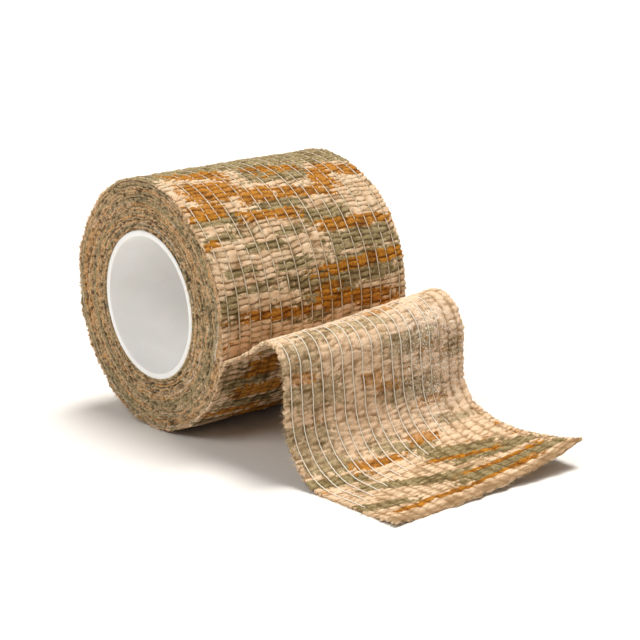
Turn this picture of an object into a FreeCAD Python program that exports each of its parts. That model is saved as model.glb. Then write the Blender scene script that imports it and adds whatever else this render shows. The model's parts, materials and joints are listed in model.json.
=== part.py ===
"""A roll of crinkled stretch wrap on a plastic core, with its free tail lying out on the table.

Frame: millimetres, +Z up, origin at the centre of the core's bore. The bore runs along X. The roll lies
on its side, and the tail leaves it towards -Y, rises to a crest, falls to the table and lies out flat.
Every fabric piece is a plain strip, bent only about lines along X.
"""
import FreeCAD, Part
import math
import os

# ---- Driving dimensions ------------------------------------------------------------------------------
tape_width = 50.0            # width of the wrap, along X
core_bore_diameter = 30.0    # inside of the plastic tube
core_wall = 1.3              # wall of the plastic tube
core_end_setback = 0.0       # how far the tube's ends lie inside the edges of the wrap
core_edge_round = 0.35       # rounding of the tube's four rim edges

face_web = 0.34              # printed outer fabric, crinkled
thread_depth = 0.15          # elastic thread, flattened between the two fabrics
thread_width = 0.32
inner_web = 0.15             # thin inner fabric
thread_count = 18            # elastic threads across the width
thread_edge_margin = 1.7     # from the strip's edge to the middle of the first thread

turns = 16                   # turns on the core, the outermost one included
turn_gap = 0.04              # air between two turns
core_clearance = 0.02        # between the tube and the first turn
joint_gap = 0.6              # between two stretches of the tail, where the real strip bends

peel_angle = 197.5           # where the tail leaves the roll, seen along +X from the +Y direction
peel_bend_radius = 2.5
rise_heading = 150.0         # direction of the rising stretch, measured as peel_angle is
rise_length = 12.8           # straight part of the rising stretch
crest_radius = 5.6
fall_heading = 268.0         # direction of the falling stretch
floor_bend_radius = 11.5
table_heading = 180.0        # along the table, away from the roll
flap_flat_length = 9.0       # part of the end flap that touches the table
flap_curl_radius = 60.0      # gentle upward curl of the cut end
flap_curl_angle = 12.0
table_clearance = 0.02       # between the flap and the table

# ---- Sizes that follow from them ---------------------------------------------------------------------
tape_thickness = face_web + thread_depth + inner_web
pitch = tape_thickness + turn_gap
core_radius = core_bore_diameter / 2 + core_wall
core_length = tape_width - 2 * core_end_setback
outer_arc_radius = core_radius + core_clearance + 0.75 * pitch + tape_thickness + (turns - 1) * pitch
x_low = -tape_width / 2
x_high = tape_width / 2


def direction(angle):
    """The unit vector at an angle in the YZ plane, counted from +Y towards +Z."""
    turn = math.radians(angle)
    return FreeCAD.Vector(0, math.cos(turn), math.sin(turn))


# ---- Strips: a path of lines and arcs, given a thickness and a width ---------------------------------
class Path:
    """A smooth line in the YZ plane. Its left side is the printed side of the wrap."""

    def __init__(self, point, heading):
        self.point = point
        self.heading = heading
        self.runs = []

    def line(self, length):
        self.runs.append(("line", self.point, self.heading, length, 0.0))
        self.point = self.point + direction(self.heading) * length
        return self

    def arc(self, radius, turn):
        """Turn left by a positive angle or right by a negative one."""
        side = 1 if turn > 0 else -1
        centre = self.point + direction(self.heading + 90 * side) * radius
        self.runs.append(("arc", centre, self.heading, radius, turn))
        self.heading = self.heading + turn
        self.point = centre - direction(self.heading + 90 * side) * radius
        return self

    def edges(self, offset):
        """The path's edges, moved to its left by an offset."""
        found = []
        for kind, place, heading, size, turn in self.runs:
            if kind == "line":
                start = place + direction(heading + 90) * offset
                found.append(Part.LineSegment(start, start + direction(heading) * size).toShape())
                continue
            side = 1 if turn > 0 else -1
            radius = size - side * offset
            ends = [place - direction(heading + part * turn + 90 * side) * radius for part in (0, 0.5, 1)]
            found.append(Part.Arc(*ends).toShape())
        return found


def strip(path, low_offset, high_offset, x_start, x_end):
    """A solid strip that follows a path, between two offsets and two places along X."""
    low = path.edges(low_offset)
    high = path.edges(high_offset)
    first_cap = Part.LineSegment(low[0].firstVertex(True).Point, high[0].firstVertex(True).Point).toShape()
    last_cap = Part.LineSegment(low[-1].lastVertex(True).Point, high[-1].lastVertex(True).Point).toShape()
    outline = Part.Wire(Part.__sortEdges__(low + [last_cap] + high + [first_cap]))
    solid = Part.Face(outline).extrude(FreeCAD.Vector(x_end - x_start, 0, 0))
    solid.translate(FreeCAD.Vector(x_start, 0, 0))
    return solid


def layers(path):
    """The strip's three layers along a path: printed web, inner web and the threads between them.

    The path is the middle of the strip's thickness."""
    outside = tape_thickness / 2
    thread_top = outside - face_web
    thread_bottom = thread_top - thread_depth
    face = strip(path, thread_top, outside, x_low, x_high)
    inner = strip(path, -outside, thread_bottom, x_low, x_high)
    thread_step = (tape_width - 2 * thread_edge_margin) / (thread_count - 1)
    threads = []
    for number in range(thread_count):
        middle = x_low + thread_edge_margin + number * thread_step
        threads.append(strip(path, thread_bottom, thread_top, middle - thread_width / 2,
                             middle + thread_width / 2))
    return face, inner, Part.makeCompound(threads)


# ---- The core ----------------------------------------------------------------------------------------
def make_core():
    along = FreeCAD.Vector(1, 0, 0)
    start = FreeCAD.Vector(-core_length / 2, 0, 0)
    tube = Part.makeCylinder(core_radius, core_length, start, along)
    tube = tube.cut(Part.makeCylinder(core_bore_diameter / 2, core_length, start, along))
    rims = [edge for edge in tube.Edges if isinstance(edge.Curve, Part.Circle)]
    return tube.makeFillet(core_edge_round, rims)


# ---- The turns: half circles about two centres, a quarter of the pitch each side of the bore's axis ---
def spiral(outer_number, half_turn_count):
    """A path outwards along the spiral, in the middle of the strip's thickness.

    Half turns are numbered inwards from 0, which ends at the peel line. The path ends with the half
    turn outer_number, an even number, and every half turn pair starts on the peel line's side."""
    peel = direction(peel_angle)
    middle_radius = outer_arc_radius - tape_thickness / 2
    inner_number = outer_number + half_turn_count - 1
    start_radius = middle_radius - inner_number * pitch / 2
    path = Path(peel * (start_radius - pitch / 4), peel_angle - 90)
    for number in range(inner_number, outer_number - 1, -1):
        path.arc(middle_radius - number * pitch / 2, -180)
    return path


# ---- The tail ----------------------------------------------------------------------------------------
def bend_angle(radius, length):
    """The angle that a bend of this radius turns through over this length of strip."""
    return math.degrees(length / radius)


def make_outer_turn():
    """The outermost turn and the start of the peel, and the hinge line where the tail lifts from it."""
    half_gap = joint_gap / 2
    peel_turn = rise_heading - (peel_angle - 90)
    outer_turn = spiral(0, 2)
    outer_turn.arc(peel_bend_radius, peel_turn - bend_angle(peel_bend_radius, half_gap))
    rest_of_bend = Path(outer_turn.point, outer_turn.heading)
    rest_of_bend.arc(peel_bend_radius, bend_angle(peel_bend_radius, half_gap))
    return outer_turn, rest_of_bend.point


def make_tail(peel_line):
    """The three stretches of the tail, each half a gap short of a hinge line, and the other two lines."""
    half_gap = joint_gap / 2
    crest_half = (fall_heading - rise_heading) / 2
    crest_skip = bend_angle(crest_radius, half_gap)
    floor_turn = fall_heading - table_heading
    floor_skip = bend_angle(floor_bend_radius, half_gap)

    rise = Path(peel_line + direction(rise_heading) * half_gap, rise_heading)
    rise.line(rise_length - half_gap)
    rise.arc(crest_radius, crest_half - crest_skip)

    crest = Path(rise.point, rise.heading)
    crest_line = crest.arc(crest_radius, crest_skip).point
    crest.arc(crest_radius, crest_skip)

    fall = Path(crest.point, crest.heading)
    fall.arc(crest_radius, crest_half - crest_skip)
    table_level = direction(270).z * outer_arc_radius + direction(peel_angle).z * pitch / 4
    flap_level = table_level + table_clearance + tape_thickness / 2
    drop_in_bend = floor_bend_radius * (1 - math.cos(math.radians(floor_turn)))
    fall_height = fall.point.z - drop_in_bend - flap_level
    fall.line(fall_height / math.cos(math.radians(fall_heading - 270)))
    fall.arc(floor_bend_radius, floor_skip - floor_turn / 2)

    floor_bend = Path(fall.point, fall.heading)
    floor_line = floor_bend.arc(floor_bend_radius, -floor_skip).point
    floor_bend.arc(floor_bend_radius, -floor_skip)

    flap = Path(floor_bend.point, floor_bend.heading)
    flap.arc(floor_bend_radius, floor_skip - floor_turn / 2)
    flap.line(flap_flat_length)
    flap.arc(flap_curl_radius, -flap_curl_angle)
    return {"rise": rise, "fall": fall, "flap": flap}, crest_line, floor_line


# ---- Everything, written out -------------------------------------------------------------------------
def write(name, shape):
    shape.exportStep("parts/" + name + ".step")
    print(name, "solids", len(shape.Solids), "valid", shape.isValid(), "volume", round(shape.Volume, 2))


def write_layers(name, path):
    face, inner, threads = layers(path)
    write(name + "_face_web", face)
    write(name + "_inner_web", inner)
    write(name + "_threads", threads)


os.makedirs("parts", exist_ok=True)
write("core", make_core())
wound_half_turns = 2 * (turns - 1)
write("wound_turns", strip(spiral(2, wound_half_turns), -tape_thickness / 2, tape_thickness / 2,
                           x_low, x_high))
outer_turn_path, peel_line = make_outer_turn()
write_layers("outer_turn", outer_turn_path)
stretches, crest_line, floor_line = make_tail(peel_line)
for stretch_name, stretch_path in stretches.items():
    write_layers(stretch_name, stretch_path)
print("peel line", peel_line)
print("crest line", crest_line)
print("floor line", floor_line)
print("end of the tail", stretches["flap"].point)
print("roll's outer radius at the peel line", outer_arc_radius + pitch / 4)
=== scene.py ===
# %% [markdown]
# # A roll of crinkled stretch wrap, with its tail pulled out
# This is a roll of self-clinging fabric wrap. Two thin non-woven webs are bonded over a row of elastic
# threads. The threads are stretched while the webs are joined, so when they relax the cloth gathers
# into small puffs between them. The wrap carries a blocky three-colour print, and it is wound on a
# white plastic tube. We build the cloth as real relief, because the puffs are what the eye reads first.

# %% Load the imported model
import bpy
import json
import math
import numpy as np
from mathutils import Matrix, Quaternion, Vector


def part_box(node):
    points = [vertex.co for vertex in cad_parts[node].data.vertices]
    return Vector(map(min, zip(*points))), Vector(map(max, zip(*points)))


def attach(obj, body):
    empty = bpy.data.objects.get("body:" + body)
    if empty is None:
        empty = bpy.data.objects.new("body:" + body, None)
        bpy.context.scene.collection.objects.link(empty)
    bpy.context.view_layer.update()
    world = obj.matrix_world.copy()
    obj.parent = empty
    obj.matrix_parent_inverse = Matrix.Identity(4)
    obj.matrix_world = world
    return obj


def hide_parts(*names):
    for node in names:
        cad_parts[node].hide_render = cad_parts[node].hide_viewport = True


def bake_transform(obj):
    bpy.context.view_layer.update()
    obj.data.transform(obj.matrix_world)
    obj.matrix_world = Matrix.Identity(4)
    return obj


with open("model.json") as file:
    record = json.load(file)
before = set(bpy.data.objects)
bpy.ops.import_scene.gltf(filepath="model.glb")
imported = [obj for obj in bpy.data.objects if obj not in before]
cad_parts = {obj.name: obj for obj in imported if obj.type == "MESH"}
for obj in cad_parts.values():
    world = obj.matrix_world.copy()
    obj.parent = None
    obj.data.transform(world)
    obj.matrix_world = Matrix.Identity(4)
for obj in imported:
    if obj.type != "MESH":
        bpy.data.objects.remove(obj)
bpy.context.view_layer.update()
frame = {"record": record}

# %% [markdown]
# ## Sizes
# The frame gives the width of the wrap, the roll's radius, the table's height and the core. We work in
# millimetres, and turn everything into metres once, when a mesh is made. The few sizes of the winding
# that the frame doesn't show, such as the pitch of the turns, are named here.

# %% Sizes from the frame, in millimetres
MM = 0.001
cover_low, cover_high = [np.array(corner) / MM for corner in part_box("outer_turn_face_web")]
core_low, core_high = [np.array(corner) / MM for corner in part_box("core")]
bore_radius = frame["record"]["mounts"][0]["dims"]["r_mm"]
half_width = (cover_high[0] - cover_low[0]) / 2
table_z = cover_low[2]
core_radius = (core_high[2] - core_low[2]) / 2
peel_angle = 197.5            # degrees from +Y towards +Z, where the tail leaves the roll
turn_pitch = 0.68             # one turn's share of the radius
strip_thickness = 0.64        # both webs and the threads, relaxed
turns = 16                    # wound on the core, the outer one included
outer_turn_lift = 0.66         # how far the loose outer turn lies outside the last pitch
roll_radius = core_radius + turns * turn_pitch + outer_turn_lift   # the printed side at the peel line
thread_count = 18
thread_margin = 1.7           # from the strip's edge to its first thread
thread_step = (2 * half_width - 2 * thread_margin) / (thread_count - 1)
print(f"roll radius {roll_radius:.2f}, table at {table_z:.2f}, half width {half_width:.2f}")

# %% [markdown]
# ## The line that the strip follows
# We call the distance along the strip `along`. It is 0 at the peel line, grows towards the free end,
# and is negative back around the roll. The tail's two edges hang a little differently: the far side
# peels off more steeply, its crest is rounder, and its corner lifts off the table. So each edge gets
# its own line of straights and bends, and the cloth between them is a blend of the two.

# %% Straights and bends
def unit(angle):
    """The direction at an angle in degrees, in the YZ plane, counted from +Y towards +Z."""
    turn = np.radians(angle)
    return np.stack([np.cos(turn), np.sin(turn)], axis=-1)


def length_of(run):
    return run[1] if run[0] == "straight" else run[1] * math.radians(abs(run[2]))


def follow(start, heading, runs, distance):
    """Points at these distances along runs of ("straight", length) and ("bend", radius, degrees)."""
    distance = np.asarray(distance, float)
    points = np.zeros(distance.shape + (2,))
    place, gone = np.array(start, float), 0.0
    for number, run in enumerate(runs):
        length = length_of(run)
        last = number == len(runs) - 1
        here = (distance >= gone) & ((distance < gone + length) | last)
        if number == 0:
            here |= distance < 0
        ahead = distance - gone
        if run[0] == "straight":
            points = np.where(here[..., None], place + unit(heading) * ahead[..., None], points)
            place = place + unit(heading) * length
        else:
            side = 1 if run[2] > 0 else -1
            centre = place + unit(heading + 90 * side) * run[1]
            turned = heading + side * np.degrees(ahead / run[1])
            points = np.where(here[..., None], centre - unit(turned + 90 * side) * run[1], points)
            heading += run[2]
            place = centre - unit(heading + 90 * side) * run[1]
        gone += length
    return points


tail_root = unit(peel_angle) * (roll_radius - strip_thickness / 2)
near_runs = [("bend", 2.2, 46), ("straight", 14.4), ("bend", 4.6, 115), ("straight", 10.6),
             ("bend", 12.6, -88), ("straight", 18.0), ("bend", 40, -3)]
far_runs = [("bend", 2.5, 23), ("straight", 7.9), ("bend", 7.6, 138), ("straight", 9.2),
            ("bend", 7.6, -70), ("bend", 36, -18), ("bend", 64, -17)]
near_length, far_length = sum(map(length_of, near_runs)), sum(map(length_of, far_runs))
tail_length = (near_length + far_length) / 2
plain_lip = 2.6               # the unprinted lip at the cut end
lip_start = tail_length - plain_lip
print(f"tail: near edge {near_length:.1f}, far edge {far_length:.1f}")

# %% [markdown]
# ## Noise that every piece shares
# Cloth is uneven at every scale. These helpers give smooth random values on a grid of seeded numbers.
# They depend only on the place on the strip, so two pieces of cloth that meet have the same puffs.

# %% Seeded noise
def smooth(t):
    t = np.clip(t, 0, 1)
    return t * t * (3 - 2 * t)


def lattice(columns, rows, seed):
    """A repeatable random number from 0 to 1 for each pair of whole numbers."""
    columns, rows = np.asarray(columns).astype(np.int64), np.asarray(rows).astype(np.int64)
    mixed = (columns * 374761393 + rows * 668265263 + seed * 974634777) & 0xFFFFFFFF
    mixed = ((mixed ^ (mixed >> 13)) * 1274126177) & 0xFFFFFFFF
    mixed = ((mixed ^ (mixed >> 16)) * 2246822519) & 0xFFFFFFFF
    return (mixed ^ (mixed >> 15)) / 4294967295.0


def noise(x, y, seed):
    """Smooth noise from -1 to 1."""
    x, y = np.broadcast_arrays(np.asarray(x, float), np.asarray(y, float))
    x0, y0 = np.floor(x), np.floor(y)
    fx, fy = smooth(x - x0), smooth(y - y0)
    corner = [[lattice(x0 + i, y0 + j, seed) for j in (0, 1)] for i in (0, 1)]
    low = corner[0][0] * (1 - fx) + corner[1][0] * fx
    high = corner[0][1] * (1 - fx) + corner[1][1] * fx
    return 2 * (low * (1 - fy) + high * fy) - 1


def layered_noise(x, y, seed, octaves=3):
    total, weight = 0.0, 0.0
    for octave in range(octaves):
        share = 0.5 ** octave
        total = total + share * noise(x * 2 ** octave, y * 2 ** octave, seed + 17 * octave)
        weight += share
    return total / weight


# %% [markdown]
# ## Puffs
# Between two threads the webs are free, and they buckle into rows that run across the strip. Each
# row is rounded on top and pinched where it meets the next one, so the height follows the size of a
# sine wave. The rows wander, and each puff has its own height.

# %% The relief of the gathered cloth
row_pitch = 1.3               # from one row of puffs to the next, along the strip
puff_height = 0.58
inner_puff_height = 0.50      # the inner web is drawn in less
web_half = 0.08               # half the cloth's thickness where it is pinched


def across_to_column(across):
    """Counts thread spaces: whole numbers are threads, and the two edges are -1 and thread_count."""
    column = (across + half_width - thread_margin) / thread_step
    edge_share = thread_step / thread_margin
    column = np.where(column < 0, column * edge_share, column)
    last = thread_count - 1
    return np.where(column > last, last + (column - last) * edge_share, column)


def row_phase(along, across):
    """Counts the rows of puffs. They wander, and every space between threads has its own pace."""
    column = np.floor(across_to_column(across))
    own_pace = 0.30 * noise(along / 4.5, column * 13.7, 5)
    wander = 0.55 * noise(along / 8, across / 7, 11) + 0.24 * noise(along / 2.1, across / 1.9, 12)
    phase = along / row_pitch + wander + own_pace
    return phase + 0.08 * np.sin(2 * np.pi * phase)


def between_threads(across):
    """1 half way between two threads, less on a thread, and full again out to the cut edge."""
    column = across_to_column(across)
    pillow = np.abs(np.sin(np.pi * column)) ** 0.6
    outside = np.maximum(-column, column - (thread_count - 1))
    pillow = np.where(outside > 0, 0.9 * smooth(outside * 2.5), pillow)
    return 0.52 + 0.48 * pillow


def row_profile(phase, cell, seed):
    """Puffs from 0 in a crease to 1 on top. Creases differ in depth, and some puffs run together."""
    crease = np.round(phase)
    depth = 0.70 + 0.30 * lattice(crease, cell, seed)
    depth = np.where(lattice(crease, cell, seed + 1) < 0.14, 0.35, depth)
    return 1 - depth * (1 - np.abs(np.sin(np.pi * phase)) ** 0.9)


def relief(along, across):
    """(middle, printed side, inner side) heights of the cloth over the strip's middle surface."""
    between = between_threads(across)
    phase = row_phase(along, across)
    cell = np.floor(across_to_column(across))
    fuzz = 0.17 * noise(along / 0.55, across / 0.70, 31) + 0.13 * noise(along / 0.3, across / 0.42, 32)
    swell = 0.68 + 0.32 * noise(phase * 0.9, across / 2.1, 21) + fuzz
    printed = web_half + puff_height * between * swell * row_profile(phase, cell, 61)
    swell_inside = 0.66 + 0.34 * noise(phase * 1.1 + 40, across / 1.7, 22) - 1.2 * fuzz
    flatter_end = 1 - 0.25 * smooth((along - 46) / 10)
    flatter_lip = 1 - 0.6 * smooth((along - lip_start) / 0.8)
    soft = inner_puff_height * flatter_end * flatter_lip
    shifted = phase + 0.35 + 0.45 * lattice(cell, 0, 64) + 0.30 * noise(along / 2.6, cell * 9.1, 65)
    shifted = shifted + 0.16 * noise(along / 0.7, across / 0.8, 67)
    crumple = 0.5 + 0.5 * noise(along / 0.55, across / 0.8, 66)
    rows = 0.58 * row_profile(shifted, cell, 63) ** 0.9 + 0.42 * crumple
    inner = web_half + soft * between ** 1.5 * swell_inside * rows
    middle = 0.12 * noise(along / 5, across / 8, 41) + 0.05 * np.cos(2 * np.pi * phase)
    return middle, printed, -inner


# %% Where the middle of the strip lies
def roll_points(along, across):
    """The strip on the roll. It spirals in by one pitch a turn, counted back from the peel line."""
    angle_back = -along / (roll_radius - strip_thickness / 2)
    radius = roll_radius - strip_thickness / 2 - turn_pitch * angle_back / (2 * np.pi)
    slack = 0.18 * noise(angle_back * 2.1, across / 30, 51)
    spot = unit(peel_angle + np.degrees(angle_back)) * (radius + slack * smooth(angle_back * 3))[..., None]
    return np.concatenate([across[..., None], spot], axis=-1)


def tail_points(along, across):
    """The strip off the roll: a blend of the line of its near edge and the line of its far edge."""
    share = (across + half_width) / (2 * half_width)
    near = follow(tail_root, peel_angle - 90, near_runs, along * near_length / tail_length)
    far = follow(tail_root, peel_angle - 90, far_runs, along * far_length / tail_length)
    lying = smooth((along - 28) / 16)         # 0 up to the crest, 1 where the strip lies down
    weight = np.clip(share, 0, 1) ** (1 + 1.7 * lying)
    spot = near * (1 - weight[..., None]) + far * weight[..., None]
    near_corner = smooth((along - tail_length + 9) / 9) * smooth(1 - share / 0.16)
    ripple = 0.30 * noise(along / 9, across / 8, 61) * smooth(along / 8)
    spot[..., 1] += 0.9 * near_corner + ripple * (1 - 0.6 * lying)
    return np.concatenate([across[..., None], spot], axis=-1)


def strip_points(along, across):
    on_roll = roll_points(np.minimum(along, 0), across)
    return np.where((along < 0)[..., None], on_roll, tail_points(np.maximum(along, 0), across))


def strip_surface(along, across):
    """The middle surface and its unit normal, which points out of the printed side."""
    step = 0.05
    ahead = strip_points(along + step, across) - strip_points(along - step, across)
    over = strip_points(along, across + step) - strip_points(along, across - step)
    normal = np.cross(over, ahead)
    normal /= np.linalg.norm(normal, axis=-1, keepdims=True)
    return strip_points(along, across), normal


check_point, check_normal = strip_surface(np.array([-60.0, 40.0]), np.array([0.0, 0.0]))
print("on the roll, outward:", check_point[0].round(1), check_normal[0].round(2))
print("on the fall:", check_point[1].round(1), check_normal[1].round(2))

# %% [markdown]
# ## The print
# The print is a blocky camouflage: warm sand, with patches of sage and of ochre. It was laid on the
# cloth while it was stretched flat, so when the cloth gathers, every patch shrinks along the strip
# and looks drawn out across it. We keep the print as two plain fields on the mesh, one for each
# colour, which are above a half inside a patch. The larger patches at the front and on the tail are
# listed one by one, the rest comes from noise, and both are cut into small blocks, half a row long and
# half a thread space wide, which gives the stepped outlines.

# %% Listed patches: along, across, half length, half width, slant
sage_patches = [
    (-117, 0, 9.8, 40, -0.04), (-129, 4, 4.5, 9, -0.1), (-124, 20, 5, 9, -0.1),
    (-141, -18, 1.6, 7, 0), (-140, -1, 1.4, 7, 0),
    (-144.5, 8, 2.2, 7, 0), (-149, -10, 1.0, 5, 0), (-151.3, 15, 2.6, 10, 0), (-156, 15, 1.6, 10, 0),
    (-158.7, 8, 1.8, 16, -0.05), (-162, 5, 1.8, 8, 0), (-157.5, -16, 1.0, 6, 0), (-160, -23, 2.2, 2, 0),
    (-90, -12, 5, 12, 0), (-72, 14, 4, 12, 0), (-52, -8, 3, 15, 0), (-30, 10, 4, 13, 0),
    (19.5, -3, 1.8, 9, 0), (24, -20, 3.4, 5, 0), (32, -17, 3.2, 8, 0), (41, -19, 3.2, 6, 0.1),
    (-145.5, -20, 1.1, 4, 0), (-153.5, -18, 0.9, 5, 0), (-147, -3, 1.0, 4, 0), (-154, -4, 1.2, 5, 0),
    (26.5, 10, 2.4, 8, 0),
    (30, 22, 1.6, 3, 0), (36.5, 10, 2.8, 8, 0.1), (45.5, 18, 1.4, 5, 0.1), (48.5, 1, 1.6, 8, 0.3),
    (55.5, 11, 2.6, 9, 0.35), (60.5, 14, 2.6, 10, 0.25), (59, -11, 1.8, 7, 0.4), (63.5, -1, 2.6, 7, 0.3),
    (66.5, -19, 1.8, 7, 0.25), (52, -18, 1.8, 7, 0.2),
    (68.6, 12, 2.4, 14, 0.03), (47, -18, 2.4, 6, 0.2), (-5, -17, 1.4, 6, 0.1), (-12.5, -14, 1.6, 8, 0),
    (4.5, -12, 1.3, 6, 0), (-19, -20, 1.2, 5, 0)]
ochre_patches = [
    (-125.5, -14, 2.2, 6, -0.3), (-132.5, -15, 3.4, 7, -0.1), (-138.5, -20, 2.2, 5, 0),
    (-127.5, 4, 1.4, 7, -0.3), (-136.5, -6, 2.2, 5, 0), (-137.5, 6, 1.7, 8, -0.1), (-132, 20, 1.9, 6, -0.4),
    (-134.5, 14, 3.8, 3.2, 0), (-142, -5, 1.4, 8, -0.1), (-147.3, 15, 1.5, 11, -0.05),
    (-156.6, 14, 1.5, 13, 0.03), (-163.8, 11, 2.0, 11, -0.1), (-160.5, 4.5, 1.2, 3.5, 0),
    (-163.6, -10, 1.2, 9, -0.06), (-146.8, -22.6, 1.0, 1.6, 0), (-96, 12, 2.5, 10, 0),
    (-80, -6, 2, 12, 0), (-60, 8, 2.4, 12, 0), (-42, -14, 2.2, 9, 0), (-20, -4, 2, 11, 0),
    (32, -1, 1.2, 3, 0), (34.5, 3, 1.0, 3, 0), (48, 7, 1.4, 4, 0.1), (50, -7, 1.3, 7, 0.15),
    (58.3, 10, 0.9, 8.5, 0.32),
    (66.3, 13, 0.8, 10, 0.06), (70.9, 6, 0.8, 13, 0.0), (70.6, -12, 0.9, 9, -0.02), (28, -20, 1.2, 3, 0),
    (40, 14, 1.0, 4, 0), (17, 6, 1.2, 4, 0), (-1.5, -9, 2.2, 9, 0.1), (-8.5, -9, 2.0, 10, 0),
    (-15.5, -16, 1.2, 8, 0), (7, -18, 1.4, 5, 0), (3, -20, 1.0, 4, 0)]
block_along, block_across = 0.65, 1.37


def patch_field(along, across, patches):
    field = np.full(np.shape(along), -1.0)
    for place, middle, long, wide, slant in patches:
        off_along = np.abs(along - place - slant * (across - middle)) / long
        off_across = np.abs(across - middle) / wide
        field = np.maximum(field, 1 - np.maximum(off_along, off_across))
    return field


def print_fields(along, across):
    """How much each point belongs to a sage patch and to an ochre patch."""
    block_a = np.floor(along / block_along)
    block_b = np.floor(across / block_across + 0.5 * lattice(block_a, 0, 71))
    a, b = (block_a + 0.5) * block_along, (block_b + 0.5) * block_across
    chance = 0.42 * (lattice(block_a, block_b, 72) - 0.5)
    jag = 0.9 * noise(a / 1.6, b / 3.5, 75)
    by_hand = np.maximum(smooth((-112 - a) / 6) * smooth((a + 176) / 4), smooth((a + 26) / 6))
    sage = 0.5 + (layered_noise(a / 6.5, b / 15, 73) - 0.18 - 0.33 * by_hand) + chance
    ochre = 0.5 + (layered_noise(a / 4.2 + 30, b / 12, 74) - 0.34 - 0.40 * by_hand) + chance
    sage = np.maximum(sage, 0.46 + 1.1 * patch_field(a + jag * 0.5, b + jag, sage_patches) + chance)
    ochre = np.maximum(ochre, 0.46 + 1.1 * patch_field(a + jag * 0.5, b + jag, ochre_patches) + chance)
    ragged = lip_start + 0.4 * noise(across / 2.5, 0, 76)
    printed = 1 - smooth((along - ragged) / 0.3)
    return np.clip(sage, 0, 1) * printed, np.clip(ochre, 0, 1) * printed


# %% [markdown]
# ## Making a mesh from a grid
# A piece of cloth here is a closed band. Its printed side and its inner side are two grids of points,
# joined along both edges and at both ends. We write the faces with numpy, because a Python loop over
# tens of thousands of points would be slow. Each face corner also gets a place in two UV maps:
# `strip_mm` is the place on the real strip, which the material reads, and `OFBake` is a tidy layout
# inside the unit square, for anyone who wants to bake the colours.

# %% Grid helpers
def grid_quads(first, rows, columns, flip=False):
    """Quads of a grid whose points are numbered row by row from `first`."""
    i, j = np.meshgrid(np.arange(rows - 1), np.arange(columns - 1), indexing="ij")
    corner = first + i * columns + j
    quads = np.stack([corner, corner + 1, corner + columns + 1, corner + columns], axis=-1).reshape(-1, 4)
    return quads[:, ::-1] if flip else quads


def pairs(u, v):
    """Two arrays as one long list of (u, v) pairs, for a UV map."""
    return np.stack(np.broadcast_arrays(u, v), axis=-1).reshape(-1, 2)


def keep_above_table(points, gap=0.0):
    points[..., 2] = np.maximum(points[..., 2], table_z + gap)


def make_mesh(name, points_mm, polygons, corner_maps, fields, material):
    """A smooth mesh in metres from arrays of polygons, UV maps per corner and fields per point."""
    mesh = bpy.data.meshes.new(name)
    sizes = np.concatenate([np.full(len(group), group.shape[1]) for group in polygons])
    corners = np.concatenate([group.ravel() for group in polygons])
    mesh.vertices.add(len(points_mm))
    mesh.vertices.foreach_set("co", (points_mm * MM).astype(np.float32).ravel())
    mesh.loops.add(len(corners))
    mesh.loops.foreach_set("vertex_index", corners.astype(np.int32))
    mesh.polygons.add(len(sizes))
    mesh.polygons.foreach_set("loop_start", (np.cumsum(sizes) - sizes).astype(np.int32))
    mesh.polygons.foreach_set("loop_total", sizes.astype(np.int32))
    mesh.polygons.foreach_set("use_smooth", np.ones(len(sizes), bool))
    for map_name, coordinates in corner_maps.items():
        layer = mesh.uv_layers.new(name=map_name)
        layer.data.foreach_set("uv", coordinates.astype(np.float32).ravel())
    for field_name, values in fields.items():
        layer = mesh.attributes.new(field_name, "FLOAT", "POINT")
        layer.data.foreach_set("value", values.astype(np.float32).ravel())
    mesh.update(calc_edges=True)
    mesh.validate()
    mesh.materials.append(material)
    piece = bpy.data.objects.new(name, mesh)
    bpy.context.scene.collection.objects.link(piece)
    print(f"{name}: {len(points_mm)} points, {len(sizes)} faces")
    return piece


# %% [markdown]
# ## Samples across the strip
# The puffs sit between the threads, so the grid's columns are spaced from thread to thread. That
# way the pinched lines fall exactly on a column of points, and stay crisp.

# %% Columns of the grid
per_space, per_margin = 6, 5
inner_columns = np.arange((thread_count - 1) * per_space + 1) / per_space * thread_step
margin_columns = np.arange(1, per_margin + 1) / per_margin * thread_margin
first_thread = -half_width + thread_margin
columns = np.concatenate([first_thread - margin_columns[::-1], first_thread + inner_columns,
                          -first_thread + margin_columns])
print(len(columns), "columns of points across", 2 * half_width, "mm")


def edge_waviness(along, side):
    """The strip's edges aren't straight: they are scalloped by the rows, and wander a little."""
    scallop = 0.22 * np.abs(np.sin(np.pi * row_phase(along, np.full(np.shape(along), side * half_width))))
    crumbs = 0.16 * noise(along / 0.9, side * 7, 84) + 0.10 * noise(along / 0.4, 0, 85)
    return side * (0.22 * noise(along / 4, side * 7, 81) + scallop + crumbs - 0.15)


def end_waviness(across):
    """The cut end isn't straight either."""
    return 0.35 * noise(across / 3.1, 0, 82) + 0.22 * noise(across / 1.1, 0, 83)


# %% A closed band of cloth
cloth_step = 0.215            # distance between the grid's rows, along the strip


def bake_corners(polygons, row_count, column_count, u_range, v_range, first=0, first_row=0):
    """Places in the OFBake map for polygons whose points are numbered row by row from `first`."""
    i, j = (polygons - first) // column_count, (polygons - first) % column_count
    u = u_range[0] + (u_range[1] - u_range[0]) * (i - first_row) / (row_count - 1)
    v = v_range[0] + (v_range[1] - v_range[0]) * j / (column_count - 1)
    return pairs(u, v)


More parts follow.
